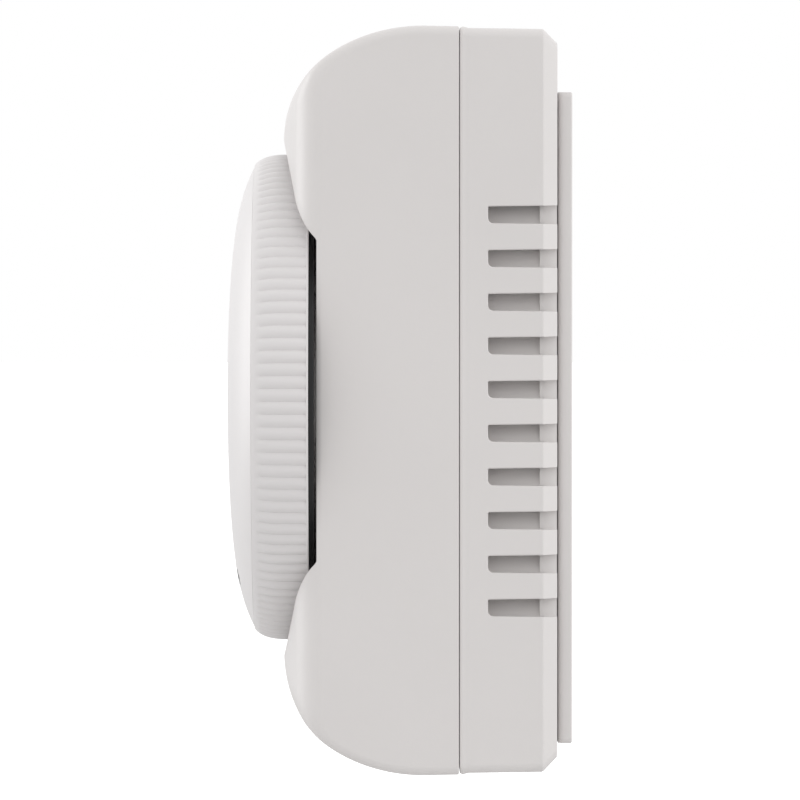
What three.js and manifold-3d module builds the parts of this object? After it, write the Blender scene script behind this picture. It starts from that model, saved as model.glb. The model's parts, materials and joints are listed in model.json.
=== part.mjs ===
// Wall-mounted programmable heating timer with a ribbed rotary ring round a domed press cap.
// Millimetres. X runs to the right, -Y faces the room, +Z is up.
// The origin is the middle of the wall plate's back face, so the wall is the plane Y = 0.
import * as THREE from "three";
import { mergeVertices } from "three/addons/utils/BufferGeometryUtils.js";
import Module from "manifold-3d";

const wasm = await Module();
wasm.setup();

// ---- driving dimensions ----
const GAP = 0.3; // clearance between separate pieces
const WALL = 1.8; // moulded wall thickness

const BODY_W = 59;
const BODY_H = 104.8;
const BODY_Z = 2.45; // height of the body's middle above the plate's middle
const TOP = BODY_Z + BODY_H / 2;
const BOTTOM = BODY_Z - BODY_H / 2;
const SIDE = BODY_W / 2;

const PLATE = { width: 53, height: 91.2, thick: 1.8, corner: 1 };
const CASE = { back: -2.1, front: -14.3, chamfer: 2.0, lipEnd: -18.3, bandEnd: -15.55 };
const COVER = { back: -15.85, front: -40.8, endDepth: 20, endHeight: 15.7, crown: 150 };
COVER.cornerWidth = 5.5; // each front corner is a quarter ellipse in plan
COVER.cornerDepth = 2.9;
const FLOOR = { front: -35.76, back: -34.16 }; // floor of the round well under the dial
const DIAL_Z = BODY_Z;
const WELL_R = 37.1;

const RING = { outer: 34.7, valley: 34.35, inner: 32.3, back: -36.9, front: -44.85, ribs: 120 };
RING.rimFront = RING.back - 0.65;
RING.ribFront = RING.front + 1.9;
const LEDGE = { inner: 31, back: -42.75, front: -43.4 };
const COLLAR = { outer: 28, inner: 26.4, front: -39.2 };
const CARRIER = { outer: 32, inner: 28.3, back: -36.1, front: -42.4 };
const GEAR = { module: 0.8, ringTeeth: 72, pinionTeeth: 12, back: -39.5 };
const GEAR_OFFSET = (GEAR.module * (GEAR.ringTeeth - GEAR.pinionTeeth)) / 2;
const PINION_Z = DIAL_Z - GEAR_OFFSET;

const TRAY = { radius: 30.4, front: -43.9, back: -42.8, postX: 15.5, postZ: 15.1, postR: 2.4 };
const DOME = { edge: 32.9, rimBack: -43.95, rimInner: 31.4, thick: 1.4 };
const SCREEN = { width: 38, height: 24, guide: [-43.0, -44.2], panel: [-44.5, -45.5] };
const SWITCH = { x: 22.8, size: 4.5, back: -42.65, front: -44.0 };
const GUIDE_PIN = { ring: 27.6, radius: 0.8, hole: 1.2, count: 3 };
const DISPLAY_BOARD = { back: -41.3, front: -42.45, radius: 25.5, cut: -17 };

const BOARD = { back: -18.8, front: -20.4, width: 53.6, height: 95 };
const BOSS = { x: 22.5, z: 44.5, radius: 3, hole: 1.5 };
const BAY = { x: 25.2, low: -37.2, high: -14.2, front: -13.9 };
const CELL = { radius: 5.15, length: 42.6, shift: 1.4, y: -8.2, z: [-20.0, -31.2] };
const WINDOW = { x: 18.5, low: 2.5, high: 32.5 };
const VENT = { count: 10, pitch: 6.1, height: 2.6, middle: BODY_Z - 1.47, front: -11.8 };
const DUCT = { x: 26.4, thick: 1.2, front: -11.2 };
const PLATE_HOLES = { z: [41.65, 30], halfWidth: 4.2, halfHeight: 2.1, corner: 2 };
const CABLE_ENTRY = { halfWidth: 13, low: 17, high: 26, corner: 2 };

// ---- solids ----
function solid(geometry) {
  const bare = geometry.index ? geometry.toNonIndexed() : geometry.clone();
  bare.deleteAttribute("normal");
  bare.deleteAttribute("uv");
  const merged = mergeVertices(bare, 1e-4);
  return new wasm.Manifold(
    new wasm.Mesh({
      numProp: 3,
      vertProperties: merged.attributes.position.array,
      triVerts: new Uint32Array(merged.index.array),
    }),
  );
}

function join(pieces) {
  return pieces.reduce((whole, piece) => whole.add(piece));
}

function cut(body, pieces) {
  return pieces.reduce((whole, piece) => whole.subtract(piece), body);
}

function block(x0, x1, y0, y1, z0, z1) {
  const geometry = new THREE.BoxGeometry(x1 - x0, y1 - y0, z1 - z0);
  geometry.translate((x0 + x1) / 2, (y0 + y1) / 2, (z0 + z1) / 2);
  return solid(geometry);
}

function outline(points) {
  return new THREE.Shape(points.map(([a, b]) => new THREE.Vector2(a, b)));
}

// An outline drawn in X and Z, extruded from yBack forwards to yFront.
function prismY(points, yBack, yFront) {
  const geometry = new THREE.ExtrudeGeometry(outline(points), {
    depth: yBack - yFront,
    bevelEnabled: false,
  });
  geometry.rotateX(Math.PI / 2);
  geometry.translate(0, yBack, 0);
  return solid(geometry);
}

// An outline drawn in Y and Z, extruded across the width.
function prismX(points, x0, x1) {
  const geometry = new THREE.ExtrudeGeometry(outline(points), { depth: x1 - x0, bevelEnabled: false });
  const turn = new THREE.Matrix4().makeBasis(
    new THREE.Vector3(0, 1, 0),
    new THREE.Vector3(0, 0, 1),
    new THREE.Vector3(1, 0, 0),
  );
  geometry.applyMatrix4(turn);
  geometry.translate(x0, 0, 0);
  return solid(geometry);
}

// An outline drawn in X and Y, extruded upwards.
function prismZ(points, z0, z1) {
  const geometry = new THREE.ExtrudeGeometry(outline(points), { depth: z1 - z0, bevelEnabled: false });
  geometry.translate(0, 0, z0);
  return solid(geometry);
}

// A profile of [radius, y] pairs turned about an axis along Y through (x, z).
function turned(profile, x, z, segments) {
  const points = profile.map(([r, y]) => new THREE.Vector2(r, y));
  const geometry = new THREE.LatheGeometry(points, segments);
  geometry.translate(x, 0, z);
  return solid(geometry);
}

function rod(radius, yBack, yFront, x, z, segments = 24) {
  return turned([[0, yFront], [radius, yFront], [radius, yBack], [0, yBack]], x, z, segments);
}

function tube(outer, inner, yBack, yFront, x, z, segments = 48) {
  const profile = [[inner, yFront], [outer, yFront], [outer, yBack], [inner, yBack], [inner, yFront]];
  return turned(profile, x, z, segments);
}

function rodX(radius, x0, x1, y, z, segments = 24) {
  const geometry = new THREE.CylinderGeometry(radius, radius, x1 - x0, segments);
  geometry.rotateZ(Math.PI / 2);
  geometry.translate((x0 + x1) / 2, y, z);
  return solid(geometry);
}

function rounded(halfX, z0, z1, radius, steps = 6) {
  const points = [];
  const centres = [
    [halfX - radius, z1 - radius, 0],
    [-halfX + radius, z1 - radius, 90],
    [-halfX + radius, z0 + radius, 180],
    [halfX - radius, z0 + radius, 270],
  ];
  for (const [x, z, start] of centres) {
    for (let i = 0; i <= steps; i++) {
      const angle = ((start + (90 * i) / steps) * Math.PI) / 180;
      points.push([x + radius * Math.cos(angle), z + radius * Math.sin(angle)]);
    }
  }
  return points;
}

// A ring of teeth, pointed when tipShare is 0: the first tooth points along the angle `start`.
function toothed(teeth, rootR, tipR, rootShare, tipShare, start, z) {
  const points = [];
  const pitch = (2 * Math.PI) / teeth;
  for (let i = 0; i < teeth; i++) {
    const middle = start + i * pitch;
    const tip = tipShare ? [-tipShare / 2, tipShare / 2] : [0];
    const corners = [
      [rootR, -rootShare / 2],
      ...tip.map((share) => [tipR, share]),
      [rootR, rootShare / 2],
    ];
    for (const [r, share] of corners) {
      const angle = middle + share * pitch;
      points.push([r * Math.cos(angle), z + r * Math.sin(angle)]);
    }
  }
  return points;
}

// ---- the shell ----
// The side silhouette: straight back, quarter-ellipse ends, set in by `inset` all round.
function sideOutline(inset, back) {
  const points = [[back, BOTTOM + inset], [back, TOP - inset]];
  const depth = COVER.endDepth - inset;
  const height = COVER.endHeight - inset;
  const topZ = TOP - COVER.endHeight;
  const bottomZ = BOTTOM + COVER.endHeight;
  const endY = COVER.front + COVER.endDepth;
  const steps = 14;
  for (let i = 0; i <= steps; i++) {
    const angle = ((Math.PI / 2) * i) / steps;
    points.push([endY - depth * Math.sin(angle), topZ + height * Math.cos(angle)]);
  }
  for (let i = steps; i >= 0; i--) {
    const angle = ((Math.PI / 2) * i) / steps;
    points.push([endY - depth * Math.sin(angle), bottomZ - height * Math.cos(angle)]);
  }
  return points.reverse();
}

// The plan silhouette: a gently crowned front with a quarter-ellipse corner at each side.
function planOutline(inset, back) {
  const half = SIDE - inset;
  const width = COVER.cornerWidth - inset;
  const depth = COVER.cornerDepth - inset;
  const crownY = (x) => COVER.front + inset + (x * x) / (2 * COVER.crown);
  const flatX = half - width;
  const right = [0.33, 0.67].map((share) => [flatX * share, crownY(flatX * share)]);
  for (let i = 0; i <= 6; i++) {
    const angle = ((Math.PI / 2) * i) / 6;
    const x = flatX + width * Math.sin(angle);
    right.push([x, crownY(x) + depth * (1 - Math.cos(angle))]);
  }
  right.push([half, back]);
  const left = right.map(([x, y]) => [-x, y]).reverse();
  return [[0, crownY(0)], ...right, ...left];
}

function coverBlank(inset, back) {
  const side = prismX(sideOutline(inset, back), -SIDE + inset, SIDE - inset);
  const plan = prismZ(planOutline(inset, back), BOTTOM + inset, TOP - inset);
  return side.intersect(plan);
}

function bossPlaces() {
  return [1, -1].flatMap((sx) => [1, -1].map((sz) => [sx * BOSS.x, BODY_Z + sz * BOSS.z]));
}

function postPlaces() {
  return [1, -1].flatMap((sx) => [1, -1].map((sz) => [sx * TRAY.postX, DIAL_Z + sz * TRAY.postZ]));
}

function frontCover() {
  const wellWall = rod(WELL_R + WALL, FLOOR.back, COVER.front - 2, 0, DIAL_Z, 96);
  const cavity = coverBlank(WALL, COVER.back + 1).subtract(wellWall);
  const shell = cut(coverBlank(0, COVER.back), [
    rod(WELL_R, FLOOR.front, COVER.front - 2, 0, DIAL_Z, 96),
    cavity,
  ]);
  const collar = tube(COLLAR.outer, COLLAR.inner, FLOOR.front + 0.5, COLLAR.front, 0, DIAL_Z, 96);
  const bosses = bossPlaces().map(([x, z]) => rod(BOSS.radius, -18.6, -33.6, x, z));
  const rests = [-24.3, 24.3].flatMap((x) =>
    [-16, 20].map((z) => rod(1.6, BOARD.front - GAP, FLOOR.front + 0.6, x, z, 16)),
  );
  const whole = join([shell, collar, ...bosses, ...rests]);
  return cut(whole, [
    block(-9, 9, -36.5, -33.5, DIAL_Z - 2.5, DIAL_Z + 2.5),
    rod(3, -33.5, -36.5, 0, PINION_Z),
    ...postPlaces().map(([x, z]) => rod(1.6, -33.5, -36.5, x, z)),
    ...bossPlaces().map(([x, z]) => rod(BOSS.hole, -18, -30, x, z)),
  ]);
}

function caseBlank() {
  const c = CASE.chamfer;
  const plan = prismZ(
    [
      [-SIDE, CASE.front],
      [SIDE, CASE.front],
      [SIDE, CASE.back - c],
      [SIDE - c, CASE.back],
      [-SIDE + c, CASE.back],
      [-SIDE, CASE.back - c],
    ],
    BOTTOM,
    TOP,
  );
  const side = prismX(
    [
      [CASE.front, BOTTOM],
      [CASE.back - c, BOTTOM],
      [CASE.back, BOTTOM + c],
      [CASE.back, TOP - c],
      [CASE.back - c, TOP],
      [CASE.front, TOP],
    ],
    -SIDE,
    SIDE,
  );
  return plan.intersect(side);
}

// An upright rectangular frame: outer edge `inset` inside the body, `thick` wide.
function frameRing(inset, thick, yBack, yFront) {
  const outer = block(-SIDE + inset, SIDE - inset, yFront, yBack, BOTTOM + inset, TOP - inset);
  const edge = inset + thick;
  const inner = block(-SIDE + edge, SIDE - edge, yFront - 1, yBack + 1, BOTTOM + edge, TOP - edge);
  return outer.subtract(inner);
}

function ventMiddles() {
  const first = VENT.middle - (VENT.pitch * (VENT.count - 1)) / 2;
  return Array.from({ length: VENT.count }, (_, i) => first + i * VENT.pitch);
}

function ventSlots() {
  const half = VENT.height / 2;
  return [1, -1].flatMap((side) =>
    ventMiddles().map((z) => {
      const x = [DUCT.x * side, (SIDE + 1) * side].sort((a, b) => a - b);
      return block(x[0], x[1], VENT.front, 0, z - half, z + half);
    }),
  );
}

function ductWalls() {
  const low = ventMiddles()[0] - 4;
  const high = ventMiddles()[VENT.count - 1] + 4;
  return [1, -1].map((side) => {
    const x = [DUCT.x * side, (DUCT.x - DUCT.thick) * side].sort((a, b) => a - b);
    return block(x[0], x[1], DUCT.front, CASE.back - 0.4, low, high);
  });
}

function hookPlaces() {
  return [-13, 13].flatMap((x) => [-41.2, 38.5].map((z) => [x, z]));
}

function rearCase() {
  const t = WALL;
  const hollow = block(-SIDE + t, SIDE - t, CASE.front - 1, CASE.back - t, BOTTOM + t, TOP - t);
  const bayWall = block(-BAY.x, BAY.x, BAY.front - 1.2, CASE.back - 0.4, BAY.low - 1.2, BAY.high + 1.2);
  const bayRoom = block(-DUCT.x + DUCT.thick, DUCT.x - DUCT.thick, BAY.front, 1, BAY.low, BAY.high);
  const screwTubes = bossPlaces().map(([x, z]) => rod(4.2, CASE.back - 0.4, -17.9, x, z));
  const band = frameRing(0.55, 1.8, CASE.front + 0.4, CASE.bandEnd);
  const lip = frameRing(WALL + GAP, 1.2, CASE.front + 0.4, CASE.lipEnd);
  const shell = join([caseBlank().subtract(hollow), band, lip, ...ductWalls(), bayWall, ...screwTubes]);
  return cut(shell, [
    bayRoom,
    block(-WINDOW.x, WINDOW.x, -6, 0, WINDOW.low, WINDOW.high),
    ...ventSlots(),
    ...hookPlaces().map(([x, z]) => block(x - 3.3, x + 3.3, -6, 0, z - 1.8, z + 2.6)),
    ...bossPlaces().map(([x, z]) => rod(1.6, 0, -20, x, z)),
    ...bossPlaces().map(([x, z]) => rod(3, 0, -6, x, z)),
    ...CELL.z.flatMap((z) => [-1, 1].map((side) => contactSlot(side, z))),
  ]);
}

function contactSlot(side, z) {
  const x = side * (BAY.x - 0.8);
  return block(x - 0.8, x + 0.8, BAY.front - 2, BAY.front + 0.5, z - 1.6, z + 1.6);
}

function wallPlate() {
  const half = PLATE.width / 2;
  const high = PLATE.height / 2;
  const panel = prismY(rounded(half, -high, high, PLATE.corner), 0, -PLATE.thick);
  const hooks = hookPlaces().map(([x, z]) => {
    const stem = block(x - 2.6, x + 2.6, -5.6, -1, z - 0.9, z + 0.5);
    const barb = block(x - 2.6, x + 2.6, -5.6, -4.5, z - 0.9, z + 1.3);
    return stem.add(barb);
  });
  const holes = PLATE_HOLES.z.flatMap((z) => [z, -z]).map((z) => {
    const { halfWidth, halfHeight, corner } = PLATE_HOLES;
    return rounded(halfWidth, z - halfHeight, z + halfHeight, corner);
  });
  const entry = rounded(CABLE_ENTRY.halfWidth, CABLE_ENTRY.low, CABLE_ENTRY.high, CABLE_ENTRY.corner);
  return cut(join([panel, ...hooks]), [entry, ...holes].map((edge) => prismY(edge, 1, -4)));
}

// ---- the dial ----
function ringCore() {
  const profile = [
    [RING.inner, RING.back],
    [RING.inner, LEDGE.back],
    [LEDGE.inner, LEDGE.back],
    [LEDGE.inner, LEDGE.front],
    [33.2, LEDGE.front],
    [33.2, RING.front],
    [33.4, RING.front],
    [33.75, -44.3],
    [RING.valley, RING.ribFront],
    [RING.valley, RING.rimFront],
    [RING.outer, RING.rimFront],
    [RING.outer, RING.back],
    [RING.inner, RING.back],
  ];
  return turned(profile, 0, DIAL_Z, 120);
}

function dialRing() {
  const ridges = toothed(RING.ribs, RING.valley - 0.2, RING.outer, 0.9, 0, 0, DIAL_Z);
  const ribs = prismY(ridges, RING.rimFront + 0.1, RING.ribFront);
  const bore = rod(33.4, RING.back, RING.front, 0, DIAL_Z, 120);
  return ringCore().add(ribs.subtract(bore));
}

function ringCarrier() {
  const body = tube(CARRIER.outer, CARRIER.inner, CARRIER.back, CARRIER.front, 0, DIAL_Z, 96);
  const middle = (GEAR.module * GEAR.ringTeeth) / 2;
  const gaps = toothed(GEAR.ringTeeth, middle - 0.55, middle + 0.75, 0.7, 0.5, -Math.PI / 2, DIAL_Z);
  return body.subtract(prismY(gaps, GEAR.back, CARRIER.front - 1));
}

function encoderPinion() {
  const middle = (GEAR.module * GEAR.pinionTeeth) / 2;
  const teeth = toothed(GEAR.pinionTeeth, middle - 0.75, middle + 0.5, 0.5, 0.24, -Math.PI / 2, PINION_Z);
  const wheel = prismY(teeth, GEAR.back - 0.1, CARRIER.front + 0.1);
  const sleeve = rod(2.1, -30.5, GEAR.back - 0.5, 0, PINION_Z);
  return wheel.add(sleeve).subtract(rod(1.4, -30, -41, 0, PINION_Z));
}

function encoderShaft() {
  return rod(1.1, -23.2, -40.5, 0, PINION_Z, 20);
}

function encoderBody() {
  const housing = block(-6, 6, -26.8, BOARD.front - GAP, PINION_Z - 6, PINION_Z + 6);
  const bushing = rod(3.2, -26, -30.1, 0, PINION_Z);
  return housing.add(bushing).subtract(rod(1.5, -22.5, -31, 0, PINION_Z));
}

// ---- the display stack ----
function domeProfile() {
  return [
    [0, -48.74],
    [7, -48.69],
    [15.16, -48.4],
    [20.89, -47.98],
    [24, -47.56],
    [27.3, -46.91],
    [29.11, -46.42],
    [31.41, -45.67],
    [DOME.edge, -44.9],
  ];
}

function guidePinPlaces() {
  return Array.from({ length: GUIDE_PIN.count }, (_, i) => {
    const angle = Math.PI / 2 + (2 * Math.PI * i) / GUIDE_PIN.count;
    return [GUIDE_PIN.ring * Math.cos(angle), DIAL_Z + GUIDE_PIN.ring * Math.sin(angle)];
  });
}

function displayCap() {
  const outside = domeProfile();
  const inside = [6, 4, 2, 0].map((i) => [outside[i][0], outside[i][1] + DOME.thick]);
  const rim = [
    [DOME.edge, DOME.rimBack],
    [DOME.rimInner, DOME.rimBack],
    [DOME.rimInner - 0.6, -44.6],
  ];
  const dome = turned([...outside, ...rim, ...inside], 0, DIAL_Z, 72);
  const stems = [-1, 1].map((side) => rod(1.1, SWITCH.front - 0.9, -46.6, side * SWITCH.x, DIAL_Z, 16));
  const pins = guidePinPlaces().map(([x, z]) => rod(GUIDE_PIN.radius, -42.9, -46.2, x, z, 16));
  return join([dome, ...stems, ...pins]);
}

function displayTray() {
  const brim = rod(TRAY.radius, TRAY.back, TRAY.front, 0, DIAL_Z, 96);
  const posts = postPlaces().map(([x, z]) => rod(TRAY.postR, FLOOR.front - GAP, TRAY.back - 0.4, x, z));
  const whole = join([brim, ...posts]);
  return cut(whole, [
    block(-19.4, 19.4, -45, -42, DIAL_Z - 12.4, DIAL_Z + 12.4),
    ...[-1, 1].map((side) =>
      block(side * SWITCH.x - 2.6, side * SWITCH.x + 2.6, -45, -42, DIAL_Z - 2.6, DIAL_Z + 2.6),
    ),
    ...guidePinPlaces().map(([x, z]) => rod(GUIDE_PIN.hole, -42, -45, x, z, 16)),
    ...postPlaces().map(([x, z]) => rod(1.3, -35, -41.5, x, z, 16)),
  ]);
}

function switchBody(side) {
  const x = side * SWITCH.x;
  const half = SWITCH.size / 2;
  const body = block(x - half, x + half, SWITCH.front, SWITCH.back - GAP / 2, DIAL_Z - half, DIAL_Z + half);
  return body.subtract(rod(1.25, -43.1, -45, x, DIAL_Z, 20));
}

function switchPlunger(side) {
  return rod(0.95, -43.55, -44.6, side * SWITCH.x, DIAL_Z, 20);
}

function displayBoard() {
  const disc = rod(DISPLAY_BOARD.radius, DISPLAY_BOARD.back, DISPLAY_BOARD.front, 0, DIAL_Z, 72);
  return cut(disc, [
    block(-30, 30, -44, -40, DIAL_Z - 30, DIAL_Z + DISPLAY_BOARD.cut),
    ...postPlaces().map(([x, z]) => rod(TRAY.postR + GAP, -40, -44, x, z)),
  ]);
}

function screenPanel([yBack, yFront]) {
  const halfX = SCREEN.width / 2;
  const halfZ = SCREEN.height / 2;
  return block(-halfX, halfX, yFront, yBack, DIAL_Z - halfZ, DIAL_Z + halfZ);
}

// ---- electronics ----
function mainBoard() {
  const half = BOARD.width / 2;
  const panel = block(
    -half, half, BOARD.front, BOARD.back, BODY_Z - BOARD.height / 2, BODY_Z + BOARD.height / 2,
  );
  return cut(panel, bossPlaces().map(([x, z]) => cornerNotch(x, z)));
}

// Room for a screw tube and boss at a corner of the board.
function cornerNotch(x, z) {
  const room = 4.8;
  const xs = [x - Math.sign(x) * room, Math.sign(x) * BODY_W];
  const zs = [z - Math.sign(z - BODY_Z) * room, Math.sign(z - BODY_Z) * BODY_H];
  return block(Math.min(...xs), Math.max(...xs), -22, -17, Math.min(...zs), Math.max(...zs));
}

function boardHeader() {
  const back = BOARD.front - GAP;
  const front = DISPLAY_BOARD.back + GAP;
  const bar = block(-7, 7, front, back, DIAL_Z - 1.2, DIAL_Z + 1.2);
  const grooves = [-4.2, -1.4, 1.4, 4.2].map((x) =>
    block(x - 0.35, x + 0.35, front + 2, back - 2, DIAL_Z + 0.7, DIAL_Z + 2),
  );
  return cut(bar, grooves);
}

function onBoardFront(x0, x1, height, z0, z1) {
  return block(x0, x1, BOARD.front - GAP - height, BOARD.front - GAP, z0, z1);
}

function relay() {
  return onBoardFront(-22, -5, 11, 12, 27);
}

function supplyModule() {
  const can = onBoardFront(5, 22, 10.5, 12, 30);
  return can.subtract(block(6, 21, -32.2, -30.9, 13, 29));
}

function capacitor() {
  return rod(3.9, BOARD.front - GAP, -31.8, -19.5, -33.5);
}

function buzzer() {
  const can = rod(6, BOARD.front - GAP, -27.4, 13.5, -37.5, 36);
  return can.subtract(rod(1, -24, -29, 13.5, -37.5, 16));
}

function thermistor() {
  const bead = rod(1.3, -13.2, -15.4, 11, -43, 16);
  const stem = rod(0.6, -15, BOARD.back + GAP, 11, -43, 12);
  return bead.add(stem);
}

// ---- terminals ----
const TERMINAL = { count: 5, pitch: 6.4, low: 5, high: 15, front: -12.5 };

function terminalX(i) {
  return (i - (TERMINAL.count - 1) / 2) * TERMINAL.pitch;
}

function terminalBlock() {
  const half = (TERMINAL.count * TERMINAL.pitch) / 2 + 0.6;
  const body = block(-half, half, TERMINAL.front, -PLATE.thick - GAP, TERMINAL.low, TERMINAL.high);
  const cuts = [];
  for (let i = 0; i < TERMINAL.count; i++) {
    const x = terminalX(i);
    cuts.push(rod(2.3, -4.2, -14, x, 11.4));
    cuts.push(block(x - 1.1, x + 1.1, -14, -5, 6, 8.2));
    cuts.push(block(x - 1.7, x + 1.7, -7.4, -3.6, 12.5, 16));
  }
  return cut(body, cuts);
}

function terminalScrew(i) {
  const x = terminalX(i);
  const head = rod(1.9, -7.2, -9.4, x, 11.4, 20);
  const shank = rod(1.2, -4.6, -8, x, 11.4, 16);
  const slot = block(x - 0.35, x + 0.35, -10, -8.6, 8, 15);
  return head.add(shank).subtract(slot);
}

function contactPins() {
  const half = (TERMINAL.count * TERMINAL.pitch) / 2 - 0.8;
  const bar = block(-half, half, BOARD.back + GAP, -13.2, 5.4, 8.8);
  const pins = Array.from({ length: TERMINAL.count }, (_, i) => {
    const x = terminalX(i);
    return block(x - 0.5, x + 0.5, -14, -6.4, 6.6, 7.6);
  });
  return join([bar, ...pins]);
}

// ---- batteries ----
function battery(z, facing) {
  const middle = facing * CELL.shift;
  const half = CELL.length / 2;
  const can = rodX(CELL.radius, middle - half, middle + half, CELL.y, z, 28);
  const x = [middle + facing * (half - 0.5), middle + facing * (half + 1.1)].sort((a, b) => a - b);
  return can.add(rodX(1.9, x[0], x[1], CELL.y, z, 16));
}

// A strip that stands in the end of the bay, with a tail through to the board.
function contactStrip(side, z0, z1, tailZ) {
  const outer = side * (BAY.x - GAP);
  const inner = side * (BAY.x - GAP - 0.5);
  const x = [outer, inner].sort((a, b) => a - b);
  const strip = block(x[0], x[1], -12.8, -4, z0, z1);
  return strip.add(block(x[0], x[1], BOARD.back + GAP, -12, tailZ - 1.2, tailZ + 1.2));
}

// A conical wire spring that presses on the cell's flat end.
class SpringLine extends THREE.Curve {
  constructor(side, z) {
    super();
    this.side = side;
    this.z = z;
  }
  getPoint(t, target = new THREE.Vector3()) {
    const turns = 3.5;
    const angle = 2 * Math.PI * turns * t;
    const radius = 3.4 - 1.5 * t;
    const x = this.side * (BAY.x - GAP - 0.45 - 4.05 * t);
    return target.set(x, CELL.y + radius * Math.cos(angle), this.z + radius * Math.sin(angle));
  }
}

function coil(side, z) {
  const section = Array.from({ length: 6 }, (_, i) => {
    const angle = (i * Math.PI) / 3;
    return [0.3 * Math.cos(angle), 0.3 * Math.sin(angle)];
  });
  const geometry = new THREE.ExtrudeGeometry(outline(section), {
    steps: 56,
    bevelEnabled: false,
    extrudePath: new SpringLine(side, z),
  });
  return solid(geometry);
}

function contactBridge() {
  const strip = contactStrip(1, CELL.z[1] - 3.5, CELL.z[0] + 3.5, CELL.z[0]);
  return strip.add(coil(1, CELL.z[1]));
}

function contactPositive() {
  return contactStrip(-1, CELL.z[1] - 3.5, CELL.z[1] + 3.5, CELL.z[1]);
}

function contactNegative() {
  return contactStrip(-1, CELL.z[0] - 3.5, CELL.z[0] + 3.5, CELL.z[0]).add(coil(-1, CELL.z[0]));
}

// ---- screws ----
function caseScrew([x, z]) {
  const head = rod(2.6, -4, -5.6, x, z, 24);
  const shank = rod(1.15, -5, -27, x, z, 16);
  return cut(head.add(shank), [
    block(x - 1.5, x + 1.5, -4.9, -3, z - 0.3, z + 0.3),
    block(x - 0.3, x + 0.3, -4.9, -3, z - 1.5, z + 1.5),
  ]);
}

function trayScrew([x, z]) {
  const head = rod(2.4, -32.3, -33.8, x, z, 20);
  const shank = rod(0.95, -33, -40.5, x, z, 14);
  return head.add(shank).subtract(block(x - 1.5, x + 1.5, -33, -31, z - 0.3, z + 0.3));
}

// ---- assembly ----
const COLOURS = {
  shell: 0xdedbd8,
  cap: 0xe9e8e8,
  black: 0x151517,
  board: 0x1f5a38,
  glass: 0x30363a,
  guide: 0xf2f2ee,
  steel: 0xb9bcc0,
  brass: 0xc8a24a,
  cell: 0x3c6f8f,
  blue: 0x2d4a86,
};

const root = new THREE.Group();
root.name = "programmable_timer";

function place(name, made, colour, metal = 0) {
  const mesh = made.getMesh();
  const geometry = new THREE.BufferGeometry();
  geometry.setAttribute("position", new THREE.BufferAttribute(new Float32Array(mesh.vertProperties), 3));
  geometry.setIndex(new THREE.BufferAttribute(new Uint32Array(mesh.triVerts), 1));
  const finish = { color: COLOURS[colour], metalness: metal, roughness: 0.5 };
  const piece = new THREE.Mesh(geometry, new THREE.MeshStandardMaterial(finish));
  piece.name = name;
  root.add(piece);
}

place("wall_plate", wallPlate(), "shell");
place("terminal_block", terminalBlock(), "black");
for (let i = 0; i < TERMINAL.count; i++) {
  place(`terminal_screw_${i + 1}`, terminalScrew(i), "brass", 1);
}
place("rear_case", rearCase(), "shell");
place("front_cover", frontCover(), "shell");
bossPlaces().forEach((at, i) => place(`case_screw_${i + 1}`, caseScrew(at), "steel", 1));

place("main_board", mainBoard(), "board");
place("contact_pins", contactPins(), "brass", 1);
place("relay", relay(), "black");
place("supply_module", supplyModule(), "blue");
place("capacitor", capacitor(), "blue");
place("buzzer", buzzer(), "black");
place("thermistor", thermistor(), "black");
place("board_header", boardHeader(), "black");

place("battery_1", battery(CELL.z[0], 1), "cell");
place("battery_2", battery(CELL.z[1], -1), "cell");
place("contact_bridge", contactBridge(), "steel", 1);
place("contact_positive", contactPositive(), "steel", 1);
place("contact_negative", contactNegative(), "steel", 1);

place("encoder_body", encoderBody(), "steel", 1);
place("encoder_shaft", encoderShaft(), "steel", 1);
place("encoder_pinion", encoderPinion(), "guide");
place("ring_carrier", ringCarrier(), "black");
place("dial_ring", dialRing(), "cap");

place("display_tray", displayTray(), "black");
postPlaces().forEach((at, i) => place(`tray_screw_${i + 1}`, trayScrew(at), "steel", 1));
place("display_board", displayBoard(), "board");
place("light_guide", screenPanel(SCREEN.guide), "guide");
place("display_panel", screenPanel(SCREEN.panel), "glass");
place("switch_right", switchBody(1), "black");
place("switch_left", switchBody(-1), "black");
place("plunger_right", switchPlunger(1), "guide");
place("plunger_left", switchPlunger(-1), "guide");
place("display_cap", displayCap(), "cap");

export default root;
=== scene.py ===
"""Wall-mounted programmable heating timer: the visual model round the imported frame.

Shapes are made in millimetres in the frame's own axes and scaled to metres as they are finished:
X to the right, -Y towards the room, +Z up, with the wall at Y = 0.
"""
import json
import math

import bmesh
import bpy
from mathutils import Matrix, Vector


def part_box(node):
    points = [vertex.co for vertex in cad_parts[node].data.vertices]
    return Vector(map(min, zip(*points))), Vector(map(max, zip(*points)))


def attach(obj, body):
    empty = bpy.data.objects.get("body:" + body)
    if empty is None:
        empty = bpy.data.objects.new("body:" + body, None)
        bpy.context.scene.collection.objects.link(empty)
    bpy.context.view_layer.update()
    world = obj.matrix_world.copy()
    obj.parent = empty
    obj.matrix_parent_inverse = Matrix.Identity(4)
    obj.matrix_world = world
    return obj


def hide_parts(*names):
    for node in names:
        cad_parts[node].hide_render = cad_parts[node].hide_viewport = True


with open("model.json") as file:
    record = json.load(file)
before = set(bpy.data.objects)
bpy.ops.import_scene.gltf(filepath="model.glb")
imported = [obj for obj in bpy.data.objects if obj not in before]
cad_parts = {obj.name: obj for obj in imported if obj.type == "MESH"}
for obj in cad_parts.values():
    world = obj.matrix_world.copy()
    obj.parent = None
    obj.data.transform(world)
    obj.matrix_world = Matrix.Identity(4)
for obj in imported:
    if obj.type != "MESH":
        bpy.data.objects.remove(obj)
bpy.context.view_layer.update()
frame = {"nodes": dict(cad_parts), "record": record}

MM = 0.001


def box_mm(node):
    low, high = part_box(node)
    return low / MM, high / MM


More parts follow.
